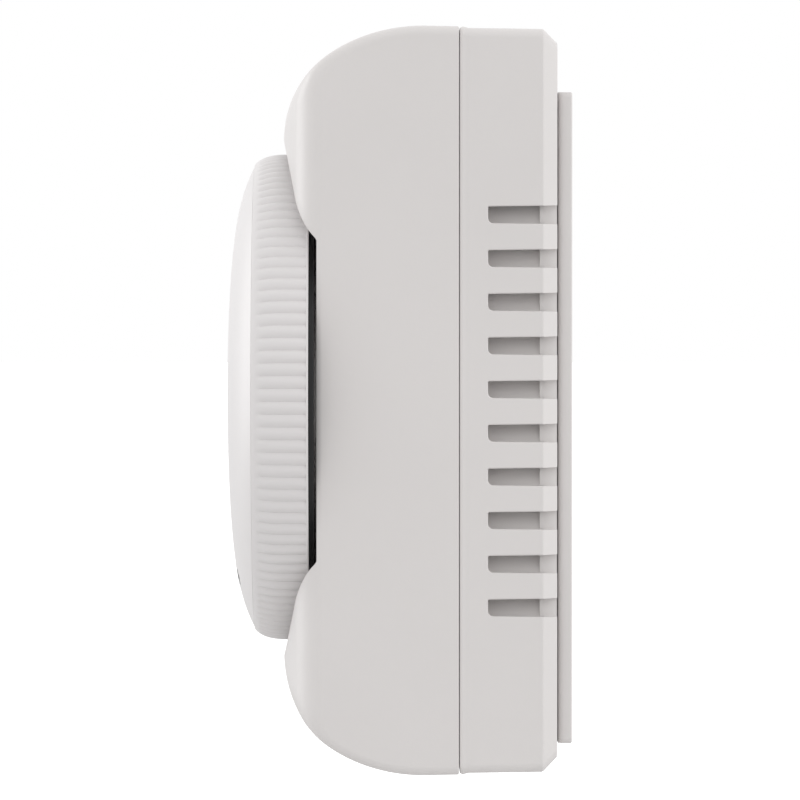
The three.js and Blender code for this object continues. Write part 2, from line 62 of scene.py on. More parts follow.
# ---- dimensions, from the frame ----
cover_low, cover_high = box_mm("front_cover")
ring_low, ring_high = box_mm("dial_ring")
cap_low, cap_high = box_mm("display_cap")
plate_low, plate_high = box_mm("wall_plate")

SIDE = cover_high.x
TOP = cover_high.z
BOTTOM = cover_low.z
BODY_Z = (TOP + BOTTOM) / 2
COVER_FRONT = cover_low.y
SEAM = cover_high.y
CASE_BACK = box_mm("rear_case")[1].y
DIAL_Z = (ring_low.z + ring_high.z) / 2
RING_R = ring_high.z - DIAL_Z
RING_BACK = ring_high.y
RING_FRONT = ring_low.y
DOME_R = cap_high.x
DOME_FRONT = cap_low.y

WALL = 1.8  # moulded wall thickness
EDGE_R = 1.3  # rounding where the curved ends meet the side walls
COVER_END_DEPTH = 20.0  # the ends are quarter ellipses, this deep and this high
COVER_END_HEIGHT = 15.7
COVER_CROWN = 150  # radius of the front's crown, across the width
CORNER_WIDTH = 5.5  # the front's corners are quarter ellipses in plan
CORNER_DEPTH = 2.9
CREASE_SOFT = 2.4  # reach of the soft bend between the front and each end
COVER_DRAFT = 0.1  # how much the ends draw in towards the seam
SEAM_BEVEL = 0.16
WELL_R = 36.9  # the round well that the dial sits in
WELL_EDGE = 0.4  # rounding of its edge
WELL_FLOOR = RING_BACK + 1.14  # leaves a narrow gap behind the ring
BOSS_X = 22.5
BOSS_Z = 44.5
POST_X = 15.5
POST_Z = 15.1


# ---- mesh helpers ----
def scene_object(name, mesh):
    obj = bpy.data.objects.new(name, mesh)
    bpy.context.scene.collection.objects.link(obj)
    return obj


def closed_mesh(name, points, faces):
    """An object in millimetres: doubles merged, collapsed faces dropped, faces turned outwards."""
    mesh = bpy.data.meshes.new(name)
    mesh.from_pydata([tuple(p) for p in points], [], faces)
    work = bmesh.new()
    work.from_mesh(mesh)
    bmesh.ops.remove_doubles(work, verts=work.verts, dist=1e-4)
    bmesh.ops.dissolve_degenerate(work, dist=1e-4, edges=work.edges)
    bmesh.ops.recalc_face_normals(work, faces=work.faces)
    work.to_mesh(mesh)
    work.free()
    return scene_object(name, mesh)


def joined(name, objects):
    """One object holding several closed solids that don't touch."""
    work = bmesh.new()
    for obj in objects:
        work.from_mesh(obj.data)
        bpy.data.objects.remove(obj)
    mesh = bpy.data.meshes.new(name)
    work.to_mesh(mesh)
    work.free()
    return scene_object(name, mesh)


def combine(base, tools, operation):
    """base with the tools cut from it or added to it, one exact boolean for them all."""
    tool = joined("tool", tools)
    modifier = base.modifiers.new("Boolean", "BOOLEAN")
    modifier.operation = operation
    modifier.solver = "EXACT"
    modifier.object = tool
    result = baked_mesh(base)
    base.modifiers.clear()
    base.data = result
    bpy.data.objects.remove(tool)
    return base


def baked_mesh(obj):
    bpy.context.view_layer.update()
    depsgraph = bpy.context.evaluated_depsgraph_get()
    return bpy.data.meshes.new_from_object(obj.evaluated_get(depsgraph))


def finish_piece(obj, material, body, nodes=(), smooth=32):
    """Scales a piece to metres, smooths it, gives it its material, and puts it on its body."""
    obj.data.transform(Matrix.Scale(MM, 4))
    obj.data.materials.clear()
    obj.data.materials.append(material)
    for polygon in obj.data.polygons:
        polygon.use_smooth = True
        polygon.material_index = 0
    obj.data.set_sharp_from_angle(angle=math.radians(smooth))
    weighted = obj.modifiers.new("Weighted normals", "WEIGHTED_NORMAL")
    weighted.keep_sharp = True
    weighted.weight = 80
    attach(obj, body)
    if nodes:
        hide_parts(*nodes)
    return obj


def loft(name, loops):
    """A closed solid through loops of equally many points, capped at both ends."""
    count = len(loops[0])
    points = [p for loop in loops for p in loop]
    faces = []
    for row in range(len(loops) - 1):
        for i in range(count):
            a = row * count + i
            b = row * count + (i + 1) % count
            faces.append((a, b, b + count, a + count))
    faces.append(tuple(range(count)))
    last = (len(loops) - 1) * count
    faces.append(tuple(range(last, last + count)))
    return closed_mesh(name, points, faces)


def loft_ring(name, loops):
    """A closed solid through loops, the last joined back to the first."""
    count = len(loops[0])
    points = [p for loop in loops for p in loop]
    faces = []
    for row in range(len(loops)):
        after = (row + 1) % len(loops)
        for i in range(count):
            j = (i + 1) % count
            faces.append((row * count + i, row * count + j, after * count + j, after * count + i))
    return closed_mesh(name, points, faces)


def block(x0, x1, y0, y1, z0, z1):
    def loop(y):
        return [(x0, y, z0), (x1, y, z0), (x1, y, z1), (x0, y, z1)]
    return loft("block", [loop(y0), loop(y1)])


def circle(radius, y, x, z, steps):
    turn = 2 * math.pi / steps
    return [(x + radius * math.cos(i * turn), y, z + radius * math.sin(i * turn)) for i in range(steps)]


def rod(radius, y0, y1, x, z, steps=32):
    return loft("rod", [circle(radius, y0, x, z, steps), circle(radius, y1, x, z, steps)])


def tube(outer, inner, y0, y1, x, z, steps=96):
    rings = [(inner, y0), (outer, y0), (outer, y1), (inner, y1)]
    return loft_ring("tube", [circle(r, y, x, z, steps) for r, y in rings])


# ---- materials ----
class Nodes:
    """Short names for building a node tree."""

    def __init__(self, tree):
        self.tree = tree

    def add(self, kind, **settings):
        node = self.tree.nodes.new("ShaderNode" + kind)
        for key, value in settings.items():
            setattr(node, key, value)
        return node

    def link(self, source, target):
        self.tree.links.new(source, target)

    def noise(self, place, scale, detail=3.0, roughness=0.5):
        node = self.add("TexNoise")
        node.inputs["Scale"].default_value = scale
        node.inputs["Detail"].default_value = detail
        node.inputs["Roughness"].default_value = roughness
        self.link(place, node.inputs["Vector"])
        return node.outputs["Fac"]

    def ramp(self, value, stops):
        node = self.add("ValToRGB")
        elements = node.color_ramp.elements
        while len(elements) < len(stops):
            elements.new(0.5)
        for element, (position, colour) in zip(elements, stops):
            element.position = position
            element.color = (*colour, 1.0)
        self.link(value, node.inputs["Fac"])
        return node.outputs["Color"]

    def spread(self, value, low, high):
        node = self.add("MapRange")
        node.inputs["To Min"].default_value = low
        node.inputs["To Max"].default_value = high
        self.link(value, node.inputs["Value"])
        return node.outputs["Result"]

    def bump(self, height, strength, distance, normal=None):
        node = self.add("Bump")
        node.inputs["Strength"].default_value = strength
        node.inputs["Distance"].default_value = distance
        self.link(height, node.inputs["Height"])
        if normal is not None:
            self.link(normal, node.inputs["Normal"])
        return node.outputs["Normal"]


def new_material(name):
    material = bpy.data.materials.new(name)
    material.use_nodes = True
    nodes = Nodes(material.node_tree)
    shader = material.node_tree.nodes["Principled BSDF"]
    place = nodes.add("TexCoord").outputs["Object"]
    return material, nodes, shader, place


def tinted(colour, factor):
    return tuple(min(1.0, c * factor) for c in colour)


def plastic(name, colour, roughness, grain, depth, mottle=0.012, coat=0.0):
    """Moulded plastic: faint flow mottling, a fine spark-eroded grain and a slightly uneven gloss."""
    material, nodes, shader, place = new_material(name)
    flow = nodes.noise(place, 45, 4.0)
    base = nodes.ramp(flow, [(0.3, tinted(colour, 1 - mottle)), (0.7, tinted(colour, 1 + mottle))])
    nodes.link(base, shader.inputs["Base Color"])
    fine = nodes.noise(place, grain, 3.0, 0.6)
    nodes.link(nodes.spread(fine, roughness - 0.05, roughness + 0.05), shader.inputs["Roughness"])
    nodes.link(nodes.bump(fine, 0.35, depth), shader.inputs["Normal"])
    shader.inputs["Specular IOR Level"].default_value = 0.45
    shader.inputs["Coat Weight"].default_value = coat
    shader.inputs["Coat Roughness"].default_value = 0.3
    return material


def metal(name, colour, roughness, stretch):
    """Drawn or rolled metal: fine streaks along one axis and faint tarnish."""
    material, nodes, shader, place = new_material(name)
    shader.inputs["Metallic"].default_value = 1.0
    mapping = nodes.add("Mapping")
    mapping.inputs["Scale"].default_value = stretch
    nodes.link(place, mapping.inputs["Vector"])
    streaks = nodes.noise(mapping.outputs["Vector"], 900, 3.0, 0.6)
    tarnish = nodes.noise(place, 160, 4.0)
    base = nodes.ramp(tarnish, [(0.3, tinted(colour, 0.88)), (0.7, tinted(colour, 1.05))])
    nodes.link(base, shader.inputs["Base Color"])
    nodes.link(nodes.spread(streaks, roughness - 0.08, roughness + 0.1), shader.inputs["Roughness"])
    nodes.link(nodes.bump(streaks, 0.3, 0.000008), shader.inputs["Normal"])
    return material


def solder_mask(name):
    """Green lacquer over copper: tracks stand a little proud, broken up by a coarse mask."""
    material, nodes, shader, place = new_material(name)
    turned = nodes.add("Mapping")
    turned.inputs["Rotation"].default_value = (math.pi / 2, 0, 0)
    nodes.link(place, turned.inputs["Vector"])
    tracks = nodes.add("TexBrick")
    tracks.offset = 0.37
    sizes = {"Scale": 1, "Brick Width": 0.0062, "Row Height": 0.0021, "Mortar Size": 0.00028}
    for key, value in sizes.items():
        tracks.inputs[key].default_value = value
    nodes.link(turned.outputs["Vector"], tracks.inputs["Vector"])
    patches = nodes.ramp(nodes.noise(place, 120, 1.0), [(0.47, (0, 0, 0)), (0.5, (1, 1, 1))])
    laid = nodes.add("Math", operation="MULTIPLY")
    nodes.link(tracks.outputs["Fac"], laid.inputs[0])
    nodes.link(patches, laid.inputs[1])
    base = nodes.ramp(laid.outputs[0], [(0.2, (0.012, 0.075, 0.032)), (0.8, (0.03, 0.15, 0.06))])
    nodes.link(base, shader.inputs["Base Color"])
    nodes.link(nodes.spread(nodes.noise(place, 700), 0.22, 0.34), shader.inputs["Roughness"])
    nodes.link(nodes.bump(laid.outputs[0], 0.6, 0.00004), shader.inputs["Normal"])
    shader.inputs["Coat Weight"].default_value = 0.3
    return material


def clear_moulding(name):
    """Frosted clear plastic that carries light."""
    material, nodes, shader, place = new_material(name)
    haze = nodes.noise(place, 400, 3.0)
    base = nodes.ramp(haze, [(0.3, (0.86, 0.88, 0.88)), (0.7, (0.94, 0.95, 0.94))])
    nodes.link(base, shader.inputs["Base Color"])
    nodes.link(nodes.spread(haze, 0.18, 0.32), shader.inputs["Roughness"])
    shader.inputs["Transmission Weight"].default_value = 0.6
    shader.inputs["IOR"].default_value = 1.49
    return material


SHELL_COLOUR = (0.74, 0.713, 0.702)
CAP_COLOUR = (0.755, 0.732, 0.73)

materials = {
    "white_shell": plastic("white_shell", SHELL_COLOUR, 0.4, 2600, 0.00002),
    "white_cap": plastic("white_cap", CAP_COLOUR, 0.38, 3400, 0.000006, 0.006, 0.1),
    "black_plastic": plastic("black_plastic", (0.012, 0.012, 0.013), 0.5, 2200, 0.00002, 0.2),
    "blue_plastic": plastic("blue_plastic", (0.03, 0.075, 0.24), 0.34, 1800, 0.00001, 0.06, 0.3),
    "cell_wrap": plastic("cell_wrap", (0.035, 0.10, 0.17), 0.28, 900, 0.000008, 0.05, 0.5),
    "display_glass": plastic("display_glass", (0.02, 0.023, 0.026), 0.09, 600, 0.000001, 0.1, 1.0),
    "circuit_board": solder_mask("circuit_board"),
    "clear_plastic": clear_moulding("clear_plastic"),
    "steel": metal("steel", (0.60, 0.61, 0.63), 0.3, (1, 12, 1)),
    "brass": metal("brass", (0.74, 0.55, 0.25), 0.28, (1, 10, 1)),
}
mark_ink = plastic("mark_ink", (0.07, 0.07, 0.075), 0.55, 2600, 0.000002, 0.08)
cell_band = plastic("cell_band", (0.55, 0.33, 0.13), 0.3, 900, 0.000008, 0.05, 0.5)


# ---- front cover ----
def cover_stations(inset, crown_steps=12, corner_steps=18):
    """Pairs of x and y from the middle of the crowned front round the corner to the side wall."""
    width = CORNER_WIDTH - inset
    depth = CORNER_DEPTH - inset
    flat = SIDE - inset - width
    places = [(flat * i / crown_steps, 0.0) for i in range(crown_steps)]
    for i in range(corner_steps + 1):
        angle = math.pi / 2 * i / corner_steps
        places.append((flat + width * math.sin(angle), depth * (1 - math.cos(angle))))
    return [(x, COVER_FRONT + inset + x * x / (2 * COVER_CROWN) + drop) for x, drop in places]


def edge_inset(x, inset):
    """How far the outline has drawn in at x, where the ends round over to the side wall."""
    radius = max(EDGE_R - inset / 2, 0.2)
    past = x - (SIDE - inset - radius)
    if past <= 0:
        return 0.0
    return radius - math.sqrt(max(radius * radius - past * past, 0.0))


def outline_above(front_y, inset, drawn_in):
    """The side silhouette from the flat front up round the end to the seam, as y and height pairs."""
    depth = COVER_END_DEPTH - inset - drawn_in
    height = COVER_END_HEIGHT - inset - drawn_in
    end_y = COVER_FRONT + COVER_END_DEPTH
    centre = (TOP - BOTTOM) / 2 - COVER_END_HEIGHT
    meet = math.asin(max(-1.0, min(1.0, (end_y - front_y) / depth)))
    corner = (front_y, centre + height * math.cos(meet))
    speed = math.hypot(depth * math.cos(meet), height * math.sin(meet))
    soft = CREASE_SOFT - inset
    curve_start = meet - soft / speed
    bend_end = (end_y - depth * math.sin(curve_start), centre + height * math.cos(curve_start))
    bend_start = (front_y, corner[1] - soft)
    points = [(front_y, bend_start[1] * i / 24) for i in range(24)]
    for i in range(9):
        t = i / 8
        a, b, c = (1 - t) ** 2, 2 * t * (1 - t), t * t
        points.append(tuple(a * bend_start[k] + b * corner[k] + c * bend_end[k] for k in (0, 1)))
    for i in range(1, 41):
        angle = curve_start * (1 - i / 40)
        points.append((end_y - depth * math.sin(angle), centre + height * math.cos(angle)))
    points.append((SEAM - SEAM_BEVEL, points[-1][1] - COVER_DRAFT))
    return points


def cut_below(points, height):
    """The part of an outline above a height, starting exactly on it."""
    for i in range(len(points) - 1):
        (y0, z0), (y1, z1) = points[i], points[i + 1]
        if z0 <= height < z1:
            t = (height - z0) / (z1 - z0)
            return [(y0 + t * (y1 - y0), height)] + points[i + 1:]
    return points


def resampled(points, count):
    """The same outline with its points evenly spaced."""
    lengths = [0.0]
    for (y0, z0), (y1, z1) in zip(points, points[1:]):
        lengths.append(lengths[-1] + math.hypot(y1 - y0, z1 - z0))
    result = []
    at = 0
    for i in range(count):
        wanted = lengths[-1] * i / (count - 1)
        while at < len(lengths) - 2 and lengths[at + 1] < wanted:
            at += 1
        span = lengths[at + 1] - lengths[at]
        t = (wanted - lengths[at]) / span if span else 0.0
        (y0, z0), (y1, z1) = points[at], points[at + 1]
        result.append((y0 + t * (y1 - y0), z0 + t * (z1 - z0)))
    return result


def half_column(x, front_y, inset, sign):
    """One column from the well's floor out to the seam: up for sign 1, down for sign -1."""
    dial = sign * (DIAL_Z - BODY_Z)
    outline = outline_above(front_y, inset, edge_inset(x, inset))
    floor = WELL_FLOOR + (WALL - 0.2) * (inset > 0)
    radius = WELL_R + inset
    rounding = min(WELL_EDGE, max(0.0, floor - front_y))
    edge = dial + math.sqrt((radius + rounding) ** 2 - x * x)
    surface = resampled(cut_below(outline, edge), 46)
    edge_y = surface[0][0]
    floor_y = max(floor, edge_y)
    column = [(floor_y, dial + math.sqrt(radius**2 - x * x))]
    for i in range(5):
        angle = math.pi / 2 * i / 5
        r = radius + rounding * (1 - math.cos(angle))
        y = edge_y + rounding * (1 - math.sin(angle))
        column.append((min(y, floor_y), dial + math.sqrt(r * r - x * x)))
    column += surface
    column.append((SEAM, surface[-1][1] - SEAM_BEVEL))
    return [(y, BODY_Z + sign * z) for y, z in column]


def cover_columns(inset):
    """Columns of points from the left side wall to the right one."""
    columns = []
    for x, front_y in cover_stations(inset):
        lower = half_column(x, front_y, inset, -1)
        upper = half_column(x, front_y, inset, 1)
        floor = []
        for i in range(1, 10):
            z = lower[0][1] + (upper[0][1] - lower[0][1]) * i / 10
            floor.append((lower[0][0], z))
        column = lower[::-1] + floor + upper
        last = len(column) - 1
        rim_x = min(x, SIDE - inset - SEAM_BEVEL)
        columns.append([(rim_x if i in (0, last) else x, y, z) for i, (y, z) in enumerate(column)])
    left = [[(-x, y, z) for x, y, z in column] for column in columns[:0:-1]]
    return left + columns


def cover_faces(columns, base):
    """Faces of one skin, with its two side walls and the strips that bevel them at the seam."""
    rows = len(columns[0])
    faces = []
    for c in range(len(columns) - 1):
        for r in range(rows - 1):
            a = base + c * rows + r
            faces.append((a, a + 1, a + rows + 1, a + rows))
    for c in (0, len(columns) - 1):
        first = base + c * rows
        faces.append(tuple(range(first + 1, first + rows - 1)))
        faces.append((first, first + 1, first + rows - 2, first + rows - 1))
    return faces


def boss_places():
    """The four case screws, round the body's middle."""
    return [(sx * BOSS_X, BODY_Z + sz * BOSS_Z) for sx in (1, -1) for sz in (1, -1)]


def post_places():
    """The display tray's four posts, round the dial's middle."""
    return [(sx * POST_X, DIAL_Z + sz * POST_Z) for sx in (1, -1) for sz in (1, -1)]


def cover_skin():
    """The cover's outside and inside, joined at the seam."""
    outer = cover_columns(0.0)
    inner = cover_columns(WALL)
    rows = len(outer[0])
    shift = len(outer) * rows
    points = [p for column in outer + inner for p in column]
    faces = cover_faces(outer, 0) + cover_faces(inner, shift)
    for row in (0, rows - 1):
        for c in range(len(outer) - 1):
            a = c * rows + row
            faces.append((a, a + rows, a + rows + shift, a + shift))
    for c in (0, len(outer) - 1):
        low = c * rows
        high = low + rows - 1
        faces.append((low, high, high + shift, low + shift))
    return closed_mesh("front_cover_shell", points, faces)


COLLAR_R = 28.0
COLLAR_BORE = 26.4
COLLAR_FRONT = -39.2
GEAR_OFFSET = 24.0  # the pinion's axis lies this far below the dial's
FLOOR_CUT = (WELL_FLOOR - 1, WELL_FLOOR + WALL + 0.7)  # goes right through the well's floor
# radius, front and back
BOSS = (3.0, -33.6, -18.6)
BOSS_BORE = (1.5, -30, -18)
REST = (1.6, WELL_FLOOR + 0.6, -20.7)
POST_HOLE = (1.6, *FLOOR_CUT)
PINION_HOLE = (3.0, *FLOOR_CUT)
REST_X = 24.3  # four rests that stop the main board
REST_HEIGHTS = (-16, 20)
LEAD_SLOT = (9, 2.5)  # half width and half height of the opening for the display's wiring


def front_cover():
    """The shell with the dial's collar in its well, and screw bosses and board rests inside."""
    shell = cover_skin()
    collar = tube(COLLAR_R, COLLAR_BORE, COLLAR_FRONT, WELL_FLOOR + 0.5, 0, DIAL_Z)
    combine(shell, [collar], "UNION")
    bosses = [rod(*BOSS, x, z) for x, z in boss_places()]
    rests = [rod(*REST, x, z) for x in (-REST_X, REST_X) for z in REST_HEIGHTS]
    combine(shell, bosses + rests, "UNION")
    holes = [rod(*POST_HOLE, x, z) for x, z in post_places()]
    holes.append(rod(*PINION_HOLE, 0, DIAL_Z - GEAR_OFFSET))
    half_x, half_z = LEAD_SLOT
    holes.append(block(-half_x, half_x, *FLOOR_CUT, DIAL_Z - half_z, DIAL_Z + half_z))
    combine(shell, holes, "DIFFERENCE")
    bores = [rod(*BOSS_BORE, x, z) for x, z in boss_places()]
    return combine(shell, bores, "DIFFERENCE")


# ---- dial ring ----
RIBS = 120
RIB_DEPTH = 0.36
RIB_STEPS = 8
RING_BORE = RING_R - 1.5
RING_SLEEVE = RING_BORE - 0.9  # inside radius behind the ledge
LEDGE_R = 31.0  # a ledge inside the ring reaches in to this radius
LEDGE_FRONT = -43.4
LEDGE_BACK = -42.75
SHOULDER = 4.2  # the ring's front rounds over to its ribbed side in this depth


def ring_profile():
    """Closed outline of the ring: radius, y, and how strongly the ribs cut in there."""
    front = (RING_BORE + 0.05, RING_FRONT)
    pull = (RING_R, RING_FRONT + 1.2)
    shoulder = (RING_R, RING_FRONT + SHOULDER)
    rib_start = RING_FRONT + 0.5
    rim = RING_BACK - 0.3
    outline = []
    for i in range(13):
        t = i / 12
        a, b, c = (1 - t) ** 2, 2 * t * (1 - t), t * t
        r = a * front[0] + b * pull[0] + c * shoulder[0]
        y = a * front[1] + b * pull[1] + c * shoulder[1]
        fade = min(1.0, max(0.0, y - rib_start))
        outline.append((r, y, fade * fade * (3 - 2 * fade)))
    straight = rim - shoulder[1]
    outline += [(RING_R, shoulder[1] + straight * i / 6, 1.0) for i in range(1, 7)]
    outline += [(RING_R - 0.02, rim + 0.02, 0.0), (RING_R, rim + 0.1, 0.0)]
    outline += [(RING_R, RING_BACK - 0.12, 0.0), (RING_R - 0.12, RING_BACK, 0.0)]
    outline += [(RING_SLEEVE, RING_BACK, 0.0), (RING_SLEEVE, LEDGE_BACK, 0.0)]
    outline += [(LEDGE_R, LEDGE_BACK, 0.0), (LEDGE_R, LEDGE_FRONT, 0.0)]
    outline += [(RING_BORE, LEDGE_FRONT, 0.0), (RING_BORE, RING_FRONT + 0.08, 0.0)]
    return outline


def dial_ring():
    """The profile turned round the dial's axis, hollowed between the ribs."""
    steps = RIBS * RIB_STEPS
    loops = []
    for radius, y, cut in ring_profile():
        loop = []
        for i in range(steps):
            share = (i % RIB_STEPS) / RIB_STEPS * 2 - 1
            r = radius - RIB_DEPTH * cut * share * share
            angle = 2 * math.pi * i / steps
            loop.append((r * math.cos(angle), y, DIAL_Z + r * math.sin(angle)))
        loops.append(loop)
    return loft_ring("dial_ring_ribbed", loops)


# ---- display cap ----
CAP_BACK = -43.95
SWITCH_X = 22.8
GUIDE_PIN_RING = 27.6
# radius, front and back
SWITCH_STEM = (1.1, -46.6, -44.9)
GUIDE_PIN = (0.8, -46.2, -42.9)


def dome_y(r):
    """The cap's front surface: nearly flat in the middle, falling away faster towards its edge."""
    share = r / DOME_R
    return DOME_FRONT + 1.95 * share**2.2 + 1.88 * share**7


def display_cap():
    """A thin dome with two stems that press the switches and three guide pins."""
    rows = [DOME_R * math.sin(math.pi / 2 * i / 30) for i in range(31)]
    outside = [(r, dome_y(r)) for r in rows]
    rim = [(DOME_R, CAP_BACK), (DOME_R - 1.5, CAP_BACK), (DOME_R - 2.1, CAP_BACK - 0.65)]
    inside = [(r, dome_y(r) + 1.4) for r in rows[20::-4]]
    outline = outside + rim + inside
    loops = [circle(max(r, 0.02), y, 0, DIAL_Z, 180) for r, y in outline]
    dome = loft("display_cap_dome", loops)
    inner = [rod(*SWITCH_STEM, side * SWITCH_X, DIAL_Z) for side in (1, -1)]
    for i in range(3):
        angle = math.pi / 2 + 2 * math.pi * i / 3
        x = GUIDE_PIN_RING * math.cos(angle)
        z = DIAL_Z + GUIDE_PIN_RING * math.sin(angle)
        inner.append(rod(*GUIDE_PIN, x, z))
    return combine(dome, inner, "UNION")


# ---- marks printed on the cap ----
MARK_Z = -25.4  # their height, from the dial's centre
MARK_APART = 8.8  # from the clock to each sign
MARK_STROKE = 0.6
MARK_ARM = 1.1  # half the length of a sign's strokes
CLOCK_R = 2.0
INK = 0.03  # how far the ink stands proud


def on_dome(x, z, lift):
    return (x, dome_y(math.hypot(x, z)) - lift, DIAL_Z + z)


def inked(outline):
    """A thin solid that follows the dome, over an outline of x and z from the dial's centre."""
    return loft("ink", [[on_dome(x, z, lift) for x, z in outline] for lift in (INK, -INK)])


def clock_rim(x, z, steps=48):
    """A thin inked circle."""
    radii = (CLOCK_R - MARK_STROKE / 2, CLOCK_R + MARK_STROKE / 2)
    loops = []
    for i in range(steps):
        angle = 2 * math.pi * i / steps
        near, far = [(x + r * math.cos(angle), z + r * math.sin(angle)) for r in radii]
        corners = [(near, INK), (far, INK), (far, -INK), (near, -INK)]
        loops.append([on_dome(*place, lift) for place, lift in corners])
    return loft_ring("ink", loops)


def dial_marks():
    """A clock between a minus and a plus sign."""
    w = MARK_STROKE / 2
    arm = MARK_ARM
    z = MARK_Z
    top = z + MARK_ARM + 0.15
    hands = [(-w, z - w), (arm, z - w), (arm, z + w), (w, z + w), (w, top), (-w, top)]
    minus = [(-MARK_APART + sx * arm, z + sz * w) for sx, sz in ((-1, -1), (1, -1), (1, 1), (-1, 1))]
    quarter = [(w, arm), (w, w), (arm, w)]
    plus = []
    for turn in range(4):
        angle = -math.pi / 2 * turn
        for a, b in quarter:
            x = a * math.cos(angle) - b * math.sin(angle)
            plus.append((MARK_APART + x, z + a * math.sin(angle) + b * math.cos(angle)))
    return joined("dial_marks", [clock_rim(0, z), inked(hands), inked(minus), inked(plus)])


# ---- rear case shell ----
CHAMFER_Y = 2.05  # the back edge's chamfer, in depth and across
CHAMFER_Z = 2.2
BAND_FRONT = SEAM + 0.11
BAND_EDGE = ((0, 0.24), (0.12, 0.14), (0.4, 0.03))  # its soft front edge: y and how far in
CASE_SIDE = SIDE - 0.22  # the case's side walls stand a little inside the cover's
CASE_FRONT = -14.55  # where the band ends and the straight walls begin
CASE_DRAFT = (0.1, 0.25)  # how far the case's ends draw in at its front and at its chamfer
LIP_FRONT = -18.3  # a lip reaches this far into the cover
BACK_RIM = 12  # width of the back's rim round its open middle


def rounded_loop(half_x, low, high, radius, y, steps=6):
    """A rectangle with rounded corners, standing at y."""
    loop = []
    for corner in range(4):
        x = (half_x - radius) * (1, -1, -1, 1)[corner]
        z = (high - radius, high - radius, low + radius, low + radius)[corner]
        for i in range(steps + 1):
            angle = math.pi / 2 * (corner + i / steps)
            loop.append((x + radius * math.cos(angle), y, z + radius * math.sin(angle)))
    return loop


def case_loop(y, inset, radius=EDGE_R, draft=0.0):
    """The body's outline drawn in by inset, and its ends by draft more."""
    return rounded_loop(SIDE - inset, BOTTOM + inset + draft, TOP - inset - draft, radius, y)


def rear_shell():
    """The case's walls and rim, open in the middle of its back."""
    chamfer = CASE_BACK - CHAMFER_Y
    front_draft, back_draft = CASE_DRAFT
    inset = SIDE - CASE_SIDE
    outside = [
        case_loop(LIP_FRONT, WALL + 0.3, 0.3),
        case_loop(BAND_FRONT, WALL + 0.3, 0.3),
        *(case_loop(BAND_FRONT + y, rounding, draft=front_draft) for y, rounding in BAND_EDGE),
        case_loop(CASE_FRONT, inset, draft=front_draft),
        case_loop(chamfer - 0.15, inset, draft=back_draft),
        case_loop(chamfer + 0.12, inset + 0.1, draft=back_draft),
        case_loop(CASE_BACK, CHAMFER_Z, draft=back_draft),
    ]
    back = [case_loop(CASE_BACK, BACK_RIM), case_loop(CASE_BACK - WALL, BACK_RIM)]
    inside = [
        case_loop(CASE_BACK - WALL, WALL, 0.4),
        case_loop(CASE_FRONT, WALL, 0.4),
        case_loop(CASE_FRONT, WALL + 1.5, 0.3),
        case_loop(LIP_FRONT, WALL + 1.5, 0.3),
    ]
    return loft_ring("rear_case_shell", outside + back + inside)


# ---- vents ----
VENT_COUNT = 10
VENT_PITCH = 6.1
VENT_MIDDLE = BODY_Z - 1.47
VENT_FRONT = -11.8
VENT_HALF = (1.17, 1.27, 1.42)  # half heights at the front end, at the chamfer and past the back
VENT_CORNERS = (0.75, 0.2)  # radii of the lower and the upper front corner
VENT_FLARE = 0.15
DUCT_X = 25.9  # the inner wall behind the slots
DUCT_THICK = 0.7
DUCT_PAST = 4  # it runs on this far past the middles of the end slots
LOUVRE = (1.3, -0.6)  # the inner wall stands out at the foot of each slot and back at its head
LOUVRE_HALF = 1.5  # a slot's foot and head lie this far from its middle
DUCT_STEP_X = 26.9  # it steps out to here, behind DUCT_STEP_Y
DUCT_STEP_Y = -4.55


def vent_heights():
    """The middles of the slots, from the lowest up."""
    first = VENT_MIDDLE - VENT_PITCH * (VENT_COUNT - 1) / 2
    return [first + i * VENT_PITCH for i in range(VENT_COUNT)]


def arc_points(centre_y, centre_z, radius, start, end, steps=5):
    points = []
    for i in range(steps + 1):
        angle = math.radians(start + (end - start) * i / steps)
        points.append((centre_y + radius * math.cos(angle), centre_z + radius * math.sin(angle)))
    return points


def vent_outline(z, grow):
    """A slot seen from the side, widening towards the back, its lower front corner the rounder one."""
    front, middle, back = (half + grow for half in VENT_HALF)
    start = VENT_FRONT - grow
    low, high = (radius + grow for radius in VENT_CORNERS)
    outline = arc_points(start + low, z - front + low, low, 180, 270)
    outline += [(CASE_BACK - CHAMFER_Y, z - middle), (1.0, z - back)]
    outline += [(1.0, z + back), (CASE_BACK - CHAMFER_Y, z + middle)]
    outline += arc_points(start + high, z + front - high, high, 90, 180)
    return outline


def vent_cutter(side, z):
    """One slot with its mouth flared a little where it meets the side wall."""
    levels = [
        (DUCT_X - 0.6, 0.0),
        (CASE_SIDE - 0.14, 0.0),
        (CASE_SIDE + 0.01, VENT_FLARE),
        (SIDE + 1, VENT_FLARE),
    ]
    loops = [[(side * x, y, h) for y, h in vent_outline(z, grow)] for x, grow in levels]
    return loft("vent", loops)


